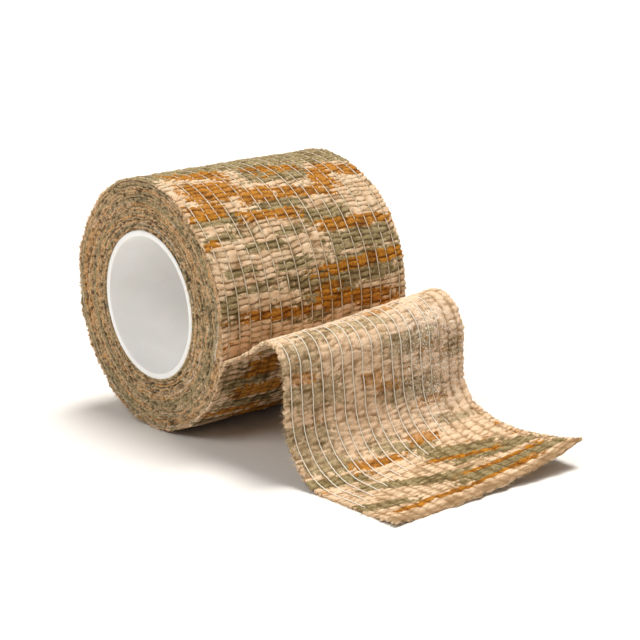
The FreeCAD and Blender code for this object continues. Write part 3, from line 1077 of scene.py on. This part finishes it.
def core_finish():
    recipe = Recipe("satin white core")
    place = recipe.place("strip_mm")
    cloud = recipe.noise(place, 0.12, 3.0)
    rings = recipe.noise(recipe.place("strip_mm", (0.2, 6.0, 1.0)), 1.0, 2.0)
    colour = recipe.mix(recipe.ramp(cloud, 0.3, 0.7), (0.91, 0.895, 0.875), (0.95, 0.94, 0.925))
    recipe.shader.inputs["Subsurface Weight"].default_value = 0.15
    recipe.shader.inputs["Subsurface Scale"].default_value = 0.0015
    recipe.bump(rings, 0.12, 0.0001)
    return recipe.finish(colour, recipe.ramp(rings, 0.3, 0.7, 0.36, 0.50))


def turned_core():
    profile = core_profile()
    count = len(profile)
    i, j = np.meshgrid(np.arange(core_steps), np.arange(count), indexing="ij")
    turn = i * 2 * np.pi / core_steps
    x, radius = profile[j, 0], profile[j, 1]
    points = np.stack([x, radius * np.cos(turn), radius * np.sin(turn)], axis=-1).reshape(-1, 3)
    next_i, next_j = (i + 1) % core_steps, (j + 1) % count
    quads = np.stack([i * count + j, i * count + next_j, next_i * count + next_j, next_i * count + j],
                     axis=-1).reshape(-1, 4)
    gaps = np.linalg.norm(np.roll(profile, -1, axis=0) - profile, axis=1)
    walked = np.concatenate([[0], np.cumsum(gaps)])
    v = np.stack([walked[j], walked[j + 1], walked[j + 1], walked[j]], axis=-1)
    u = np.stack([i, i, i + 1, i + 1], axis=-1) / core_steps
    maps = {"strip_mm": pairs(u * 100, v), "OFBake": pairs(0.02 + 0.96 * u, 0.02 + 0.96 * v / walked[-1])}
    return make_mesh("core_tube", points, [quads], maps, {}, core_finish())


core_tube = turned_core()
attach(core_tube, "roll")
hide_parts("core")

# %% [markdown]
# ## Burrs on the core's rim
# The tube was sawn to length, and the saw leaves a few pale curls of plastic on the rim. They sit
# mostly on the upper half, and they're short, so a few dozen tiny curled tubes are enough.

# %% Saw burrs
burr_count, burr_radius = 44, 0.055


def rim_burrs():
    draw = np.random.default_rng(301)
    count = burr_count
    turn = np.radians(draw.normal(95, 60, count))
    side = np.where(np.arange(count) % 2 == 0, -1.0, 1.0)
    across = side * (core_high[0] - 0.1)
    spot = np.stack([across, core_radius * np.cos(turn), core_radius * np.sin(turn)], axis=-1)
    outward = np.stack([np.zeros(count), np.cos(turn), np.sin(turn)], axis=-1)
    around_rim = np.stack([np.zeros(count), -np.sin(turn), np.cos(turn)], axis=-1)
    aims = outward * 0.5 + around_rim * draw.normal(0, 1.0, count)[:, None]
    aims[:, 0] += side * draw.uniform(0.3, 0.9, count)
    aims /= np.linalg.norm(aims, axis=1, keepdims=True)
    burr = fibre_finish("saw burr", (0.93, 0.92, 0.90), (0.84, 0.83, 0.80))
    lengths = draw.uniform(0.4, 1.3, count)
    return fibre_tubes("core_rim_burrs", spot, aims, lengths, burr_radius, burr, draw)


burrs = rim_burrs()
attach(burrs, "roll")

# %% [markdown]
# ## The floor, the light and the camera
# The roll stands on a plain off-white floor. A broad lamp almost straight above gives most of the
# light. A weaker one lights the near end face and the bore, and a dim white sky keeps the shadows
# open, so they are soft and stay close to the roll.

# %% Floor
scene = bpy.context.scene
floor_mesh = bpy.data.meshes.new("floor")
reach = 3.0                   # metres from the middle to each side
floor_level = table_z * MM
floor_corners = [(x * reach, y * reach, floor_level) for x, y in ((-1, -1), (1, -1), (1, 1), (-1, 1))]
floor_mesh.from_pydata(floor_corners, [], [(0, 1, 2, 3)])
floor = bpy.data.objects.new("floor", floor_mesh)
scene.collection.objects.link(floor)
floor_mesh.materials.append(Recipe("white floor").finish((0.82, 0.79, 0.75), 0.9))

# %% Light
world = bpy.data.worlds.new("studio")
scene.world = world
world.use_nodes = True
sky = world.node_tree.nodes["Background"]
sky.inputs["Color"].default_value = (1.0, 1.0, 1.0, 1)
sky.inputs["Strength"].default_value = 0.26


def soft_sun(name, energy, towards_lamp, spread, colour):
    """A lamp that looks `spread` degrees wide, in the direction of the vector towards it."""
    lamp = bpy.data.lights.new(name, "SUN")
    lamp.energy, lamp.angle, lamp.color = energy, math.radians(spread), colour
    holder = bpy.data.objects.new(name, lamp)
    scene.collection.objects.link(holder)
    holder.rotation_euler = Vector(towards_lamp).to_track_quat("Z", "Y").to_euler()


soft_sun("overhead", 3.55, (0.22, 0.06, 0.97), 26, (1.0, 0.985, 0.965))
soft_sun("side fill", 1.05, (-0.66, -0.16, 0.73), 28, (1.0, 0.985, 0.96))

# %% Camera
camera = bpy.data.objects.new("camera", bpy.data.cameras.new("camera"))
scene.collection.objects.link(camera)
camera.data.lens = 104.06
camera.data.sensor_width = 36.0
camera.data.clip_start = 0.02
camera.location = (-0.23746, -0.323234, 0.100391)
looks_at = Vector((0.01253, -0.01226, -0.00799))
tilt = Quaternion((0, 0, 1), math.radians(-1.39))
camera.rotation_mode = "QUATERNION"
camera.rotation_quaternion = (looks_at - camera.location).to_track_quat("-Z", "Y") @ tilt
scene.camera = camera
scene.view_settings.view_transform = "Standard"
